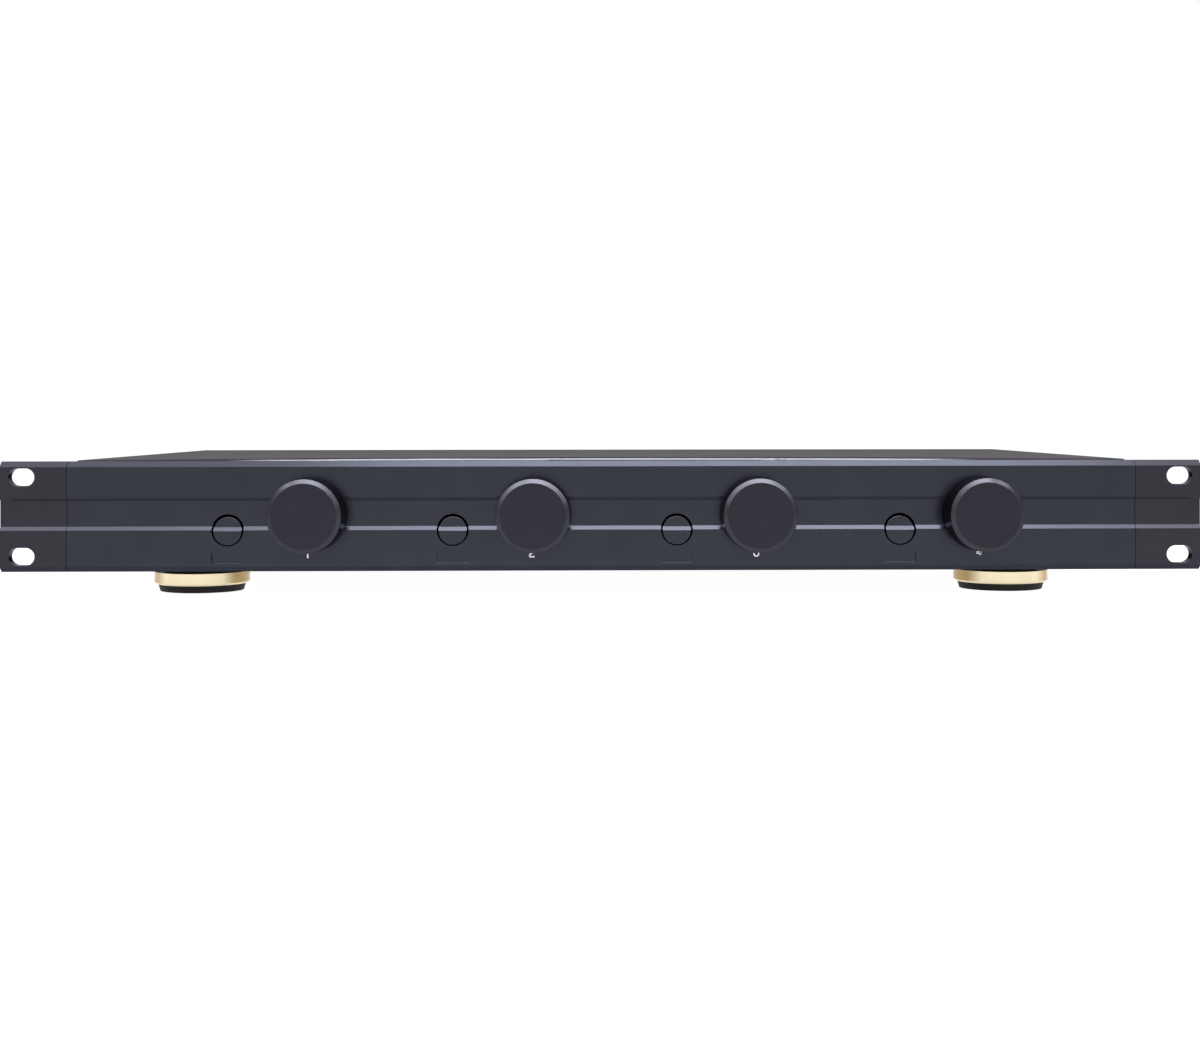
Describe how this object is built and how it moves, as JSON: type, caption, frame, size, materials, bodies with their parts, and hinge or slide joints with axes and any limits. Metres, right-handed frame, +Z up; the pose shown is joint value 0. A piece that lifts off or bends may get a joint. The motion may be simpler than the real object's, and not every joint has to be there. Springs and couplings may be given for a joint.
{
  "type": "speaker selector switch",
  "caption": "Rack-mount speaker selector: grooved panel with bevelled round volume knobs, flush round push buttons, slotted ears, ringed feet and pull-off terminals behind.",
  "frame": {"origin": "under the middle of the whole unit, at the bottom of the feet", "axes": "+X to the right seen from the front, +Y from the front to the back, +Z up"},
  "size_m": [0.4826, 0.2758, 0.0577],
  "materials": {
    "panel_anodised": "dark blue-grey satin anodised",
    "ear_anodised": "dark grey satin anodised",
    "case_paint": "fine-textured black powder coat",
    "knob_anodised": "dark satin anodised, turned",
    "black_screws": "black oxide",
    "plated_steel": "bright zinc plate",
    "gold_anodised": "brushed gold anodised",
    "foot_rubber": "matt black rubber",
    "core_steel": "varnished laminations",
    "coil_copper": "taped copper winding",
    "switch_plastic": "moulded black",
    "board_laminate": "green solder mask",
    "terminal_plastic": "moulded green",
    "slider_plastic": "moulded white"
  },
  "bodies": {
    "chassis": {"faceplate": "panel_anodised", "rack_ear_left": "ear_anodised", "rack_ear_right": "ear_anodised", "ear_screws": "black_screws", "base_tray": "case_paint", "top_cover": "case_paint", "rear_panel": "case_paint", "case_screws": "black_screws", "inner_screws": "plated_steel", "foot_screws": "black_screws", "bushing_nuts": "plated_steel", "transformer_straps": "plated_steel", "switch_board": "board_laminate", "terminal_board": "board_laminate", "board_standoffs": "plated_steel", "terminal_headers": "terminal_plastic", "header_pins": "plated_steel", "protection_switch": "switch_plastic", "foot_ring_front_left": "gold_anodised", "foot_rubber_front_left": "foot_rubber", "foot_ring_front_right": "gold_anodised", "foot_rubber_front_right": "foot_rubber", "foot_ring_rear_left": "gold_anodised", "foot_rubber_rear_left": "foot_rubber", "foot_ring_rear_right": "gold_anodised", "foot_rubber_rear_right": "foot_rubber", "volume_switch_1": "switch_plastic", "autotransformer_core_1": "core_steel", "autotransformer_coil_1": "coil_copper", "push_switch_1": "switch_plastic", "volume_switch_2": "switch_plastic", "autotransformer_core_2": "core_steel", "autotransformer_coil_2": "coil_copper", "push_switch_2": "switch_plastic", "volume_switch_3": "switch_plastic", "autotransformer_core_3": "core_steel", "autotransformer_coil_3": "coil_copper", "push_switch_3": "switch_plastic", "volume_switch_4": "switch_plastic", "autotransformer_core_4": "core_steel", "autotransformer_coil_4": "coil_copper", "push_switch_4": "switch_plastic"},
    "volume_control_1": {"knob_1": "knob_anodised", "volume_shaft_1": "plated_steel"},
    "zone_button_1": {"button_1": "panel_anodised"},
    "zone_1_plug": {"terminal_plug_zone_1": "terminal_plastic"},
    "volume_control_2": {"knob_2": "knob_anodised", "volume_shaft_2": "plated_steel"},
    "zone_button_2": {"button_2": "panel_anodised"},
    "zone_2_plug": {"terminal_plug_zone_2": "terminal_plastic"},
    "volume_control_3": {"knob_3": "knob_anodised", "volume_shaft_3": "plated_steel"},
    "zone_button_3": {"button_3": "panel_anodised"},
    "zone_3_plug": {"terminal_plug_zone_3": "terminal_plastic"},
    "volume_control_4": {"knob_4": "knob_anodised", "volume_shaft_4": "plated_steel"},
    "zone_button_4": {"button_4": "panel_anodised"},
    "zone_4_plug": {"terminal_plug_zone_4": "terminal_plastic"},
    "input_plug": {"terminal_plug_input": "terminal_plastic"},
    "protection_slide": {"protection_slider": "slider_plastic"}
  },
  "joints": [
    {"name": "volume_1_turn", "type": "hinge", "parent": "chassis", "child": "volume_control_1", "pos_m": [-0.1181, -0.1231, 0.0349], "axis": [0, 1, 0], "range_deg": [0, 330]},
    {"name": "volume_2_turn", "type": "hinge", "parent": "chassis", "child": "volume_control_2", "pos_m": [-0.0281, -0.1231, 0.0349], "axis": [0, 1, 0], "range_deg": [0, 330]},
    {"name": "volume_3_turn", "type": "hinge", "parent": "chassis", "child": "volume_control_3", "pos_m": [0.0619, -0.1231, 0.0349], "axis": [0, 1, 0], "range_deg": [0, 330]},
    {"name": "volume_4_turn", "type": "hinge", "parent": "chassis", "child": "volume_control_4", "pos_m": [0.1519, -0.1231, 0.0349], "axis": [0, 1, 0], "range_deg": [0, 330]},
    {"name": "button_1_press", "type": "slide", "parent": "chassis", "child": "zone_button_1", "axis": [0, 1, 0], "range_m": [0, 0.003], "stiffness_N_per_m": 400, "springref_m": -0.0015},
    {"name": "button_2_press", "type": "slide", "parent": "chassis", "child": "zone_button_2", "axis": [0, 1, 0], "range_m": [0, 0.003], "stiffness_N_per_m": 400, "springref_m": -0.0015},
    {"name": "button_3_press", "type": "slide", "parent": "chassis", "child": "zone_button_3", "axis": [0, 1, 0], "range_m": [0, 0.003], "stiffness_N_per_m": 400, "springref_m": -0.0015},
    {"name": "button_4_press", "type": "slide", "parent": "chassis", "child": "zone_button_4", "axis": [0, 1, 0], "range_m": [0, 0.003], "stiffness_N_per_m": 400, "springref_m": -0.0015},
    {"name": "input_plug_pull", "type": "slide", "parent": "chassis", "child": "input_plug", "axis": [0, 1, 0], "range_m": [0, 0.012]},
    {"name": "zone_1_plug_pull", "type": "slide", "parent": "chassis", "child": "zone_1_plug", "axis": [0, 1, 0], "range_m": [0, 0.012]},
    {"name": "zone_2_plug_pull", "type": "slide", "parent": "chassis", "child": "zone_2_plug", "axis": [0, 1, 0], "range_m": [0, 0.012]},
    {"name": "zone_3_plug_pull", "type": "slide", "parent": "chassis", "child": "zone_3_plug", "axis": [0, 1, 0], "range_m": [0, 0.012]},
    {"name": "zone_4_plug_pull", "type": "slide", "parent": "chassis", "child": "zone_4_plug", "axis": [0, 1, 0], "range_m": [0, 0.012]},
    {"name": "protection_slide_move", "type": "slide", "parent": "chassis", "child": "protection_slide", "axis": [1, 0, 0], "range_m": [0, 0.004]}
  ]
}
